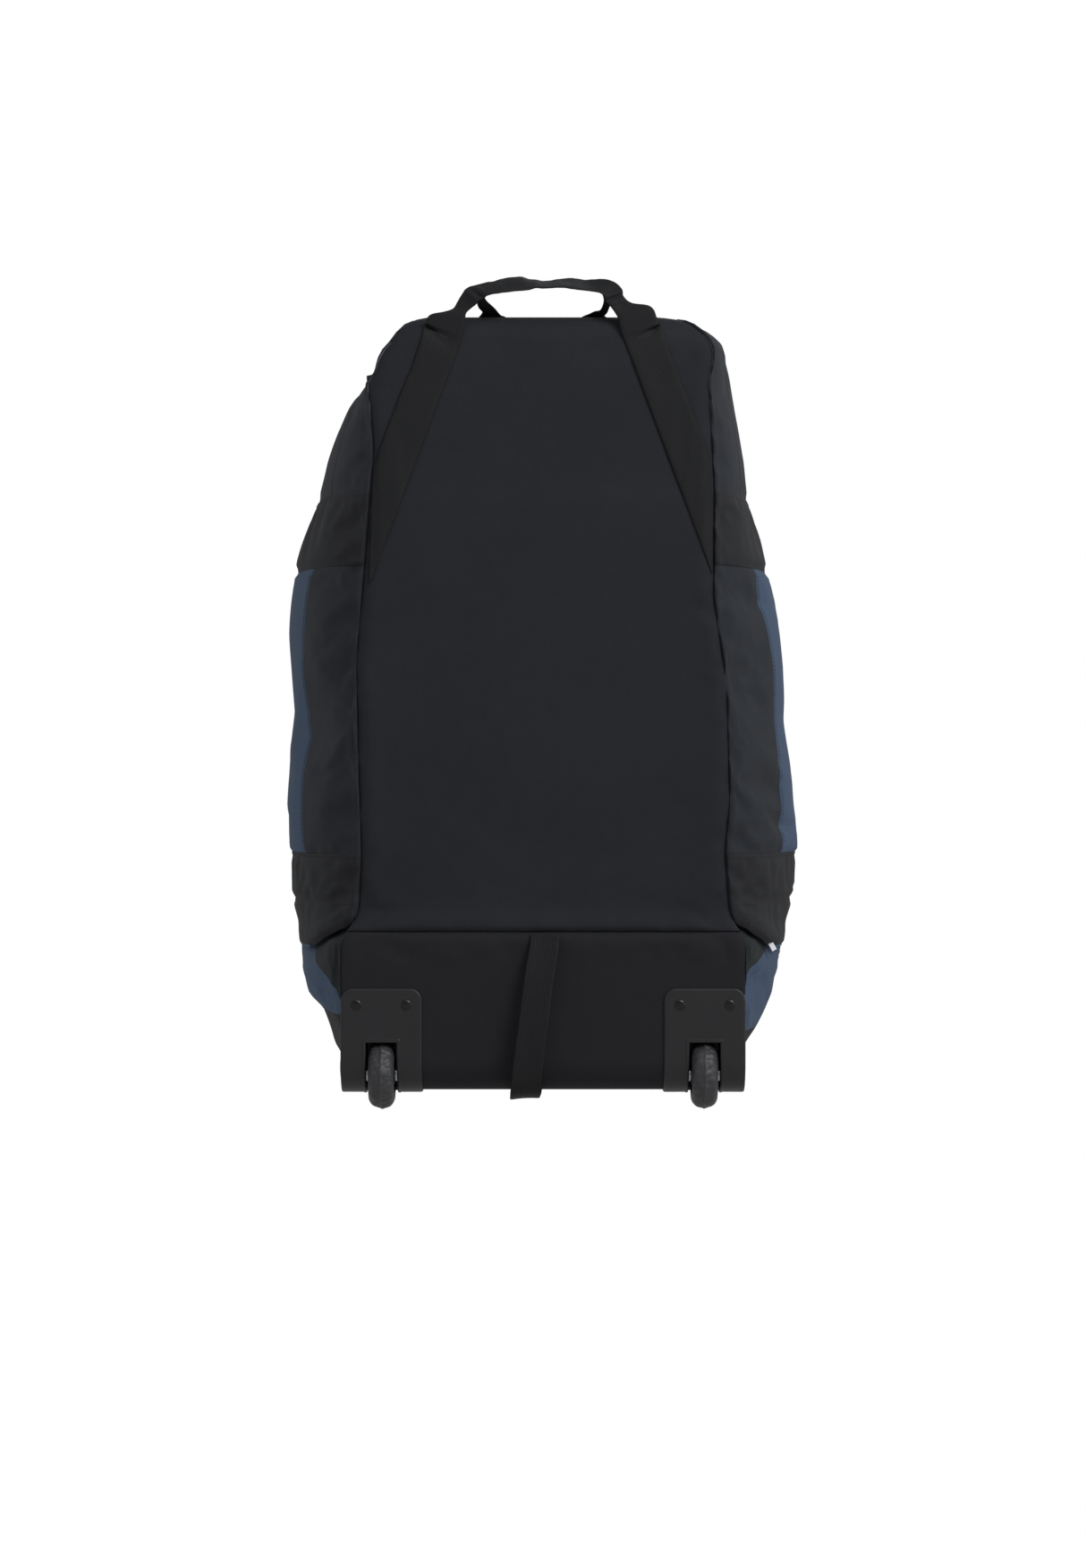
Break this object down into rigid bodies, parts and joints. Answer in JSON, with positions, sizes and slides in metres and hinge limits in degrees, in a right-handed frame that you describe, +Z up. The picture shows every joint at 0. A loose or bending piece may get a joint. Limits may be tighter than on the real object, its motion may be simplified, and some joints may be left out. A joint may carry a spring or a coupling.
{
  "type": "rolling duffel bag",
  "caption": "Soft rolling duffel bag with a stiff wheel box, inline wheels, webbing pull handle and loop, side bands, carry handles and a zipped lid.",
  "frame": {"origin": "on the floor under the middle of the bag's outer box, with the bag standing on its wheel end", "axes": "+Z up along the bag from the wheels to the pull handle, -Y the flat base side where the wheels and straps are, +Y the front with the zipped lid, +X to the right when looking at the base side"},
  "size_m": [0.5344, 0.3315, 0.8223],
  "materials": {
    "base_cloth": "plain woven polyester with a soft sheen",
    "box_cloth": "coated woven polyester over a stiff board",
    "strip_cloth": "plain woven polyester with a soft sheen",
    "main_cloth": "blue ripstop polyester",
    "band_cloth": "heavy woven polyester",
    "webbing": "ribbed polyester webbing",
    "lining": "thin woven lining tape",
    "board": "sheet polyethylene",
    "housing_plastic": "moulded, fine texture",
    "foot_plastic": "moulded",
    "hub_plastic": "moulded",
    "tyre": "ribbed solid tyre",
    "rivet_paint": "black",
    "steel": "zinc plated",
    "zip_teeth": "nylon coil",
    "zip_tape": "woven zip tape",
    "zip_metal": "gunmetal",
    "label_cloth": "woven tab"
  },
  "bodies": {
    "bag": {"base_panel": "base_cloth", "wheel_box_cover": "box_cloth", "end_panel_top": "strip_cloth", "end_panel_bottom": "box_cloth", "side_strip_left": "strip_cloth", "side_strip_right": "strip_cloth", "corner_gusset_left": "strip_cloth", "corner_gusset_right": "strip_cloth", "side_panel_left": "main_cloth", "side_panel_right": "main_cloth", "front_frame": "main_cloth", "hinge_strip": "main_cloth", "front_top_panel": "main_cloth", "front_bottom_panel": "main_cloth", "side_bands_left": "band_cloth", "side_bands_right": "band_cloth", "seam_tape_left": "lining", "seam_tape_right": "lining", "base_board": "board", "end_board": "board", "rivet_bar": "steel", "wheel_housing_left": "housing_plastic", "wheel_housing_right": "housing_plastic", "housing_rivets": "rivet_paint", "axle_left": "steel", "axle_right": "steel", "axle_nuts": "steel", "axle_spacers": "steel", "stand_feet": "foot_plastic", "foot_screws": "steel", "zip_chain_body": "zip_teeth", "zip_tape_body": "zip_tape", "zip_stops": "zip_metal", "base_strap_left": "webbing", "base_strap_right": "webbing", "handle_feet": "webbing", "end_loop_tabs": "webbing", "carry_anchors": "webbing", "side_label": "label_cloth"},
    "wheel_left": {"wheel_hub_left": "hub_plastic", "wheel_bush_left": "steel", "wheel_tyre_left": "tyre"},
    "wheel_right": {"wheel_hub_right": "hub_plastic", "wheel_bush_right": "steel", "wheel_tyre_right": "tyre"},
    "lid": {"lid_panel": "main_cloth", "lid_bands": "band_cloth", "zip_chain_lid": "zip_teeth"},
    "slider": {"zip_slider": "zip_metal"},
    "pull_tab": {"zip_pull": "zip_metal"},
    "handle": {"pull_handle": "webbing"},
    "handle_legs": {"handle_leg_left": "webbing", "handle_leg_right": "webbing"},
    "loop": {"end_loop": "webbing"},
    "carry_left": {"carry_handle_left": "webbing"},
    "carry_right": {"carry_handle_right": "webbing"}
  },
  "joints": [
    {"name": "wheel_left_spin", "type": "hinge", "parent": "bag", "child": "wheel_left", "pos_m": [-0.159, -0.1251, 0.034], "axis": [1, 0, 0], "continuous": true},
    {"name": "wheel_right_spin", "type": "hinge", "parent": "bag", "child": "wheel_right", "pos_m": [0.159, -0.1251, 0.034], "axis": [1, 0, 0], "continuous": true},
    {"name": "lid_hinge", "type": "hinge", "parent": "bag", "child": "lid", "pos_m": [-0.145, 0.1589, 0.37], "axis": [0, 0, 1], "range_deg": [0, 110]},
    {"name": "zip_slide", "type": "slide", "parent": "bag", "child": "slider", "axis": [1, 0, 0], "range_m": [0, 0.25]},
    {"name": "pull_tab_flip", "type": "hinge", "parent": "slider", "child": "pull_tab", "pos_m": [-0.161, 0.1632, 0.122], "axis": [0, 0, -1], "range_deg": [0, 170]},
    {"name": "handle_flop", "type": "hinge", "parent": "bag", "child": "handle", "pos_m": [0, -0.1327, 0.7625], "axis": [1, 0, 0], "range_deg": [-4, 15], "stiffness_Nm_per_rad": 0.1},
    {"name": "handle_legs_fold", "type": "hinge", "parent": "bag", "child": "handle_legs", "pos_m": [0, -0.0791, 0.7886], "axis": [1, 0, 0], "range_deg": [-15, 4]},
    {"name": "end_loop_swing", "type": "hinge", "parent": "bag", "child": "loop", "pos_m": [-0.007, -0.1128, 0.0905], "axis": [-0.1021, 0.3808, -0.919], "range_deg": [-15, 15], "stiffness_Nm_per_rad": 0.05},
    {"name": "carry_left_swing", "type": "hinge", "parent": "bag", "child": "carry_left", "pos_m": [-0.2069, 0.1593, 0.226], "axis": [-0.0161, 0, -0.9999], "range_deg": [0, 120]},
    {"name": "carry_right_swing", "type": "hinge", "parent": "bag", "child": "carry_right", "pos_m": [0.2077, 0.1608, 0.226], "axis": [-0.0443, 0, 0.999], "range_deg": [0, 120]}
  ],
  "couplings": [
    {"joint": "handle_legs_fold", "follows": "handle_flop", "ratio": -1}
  ]
}
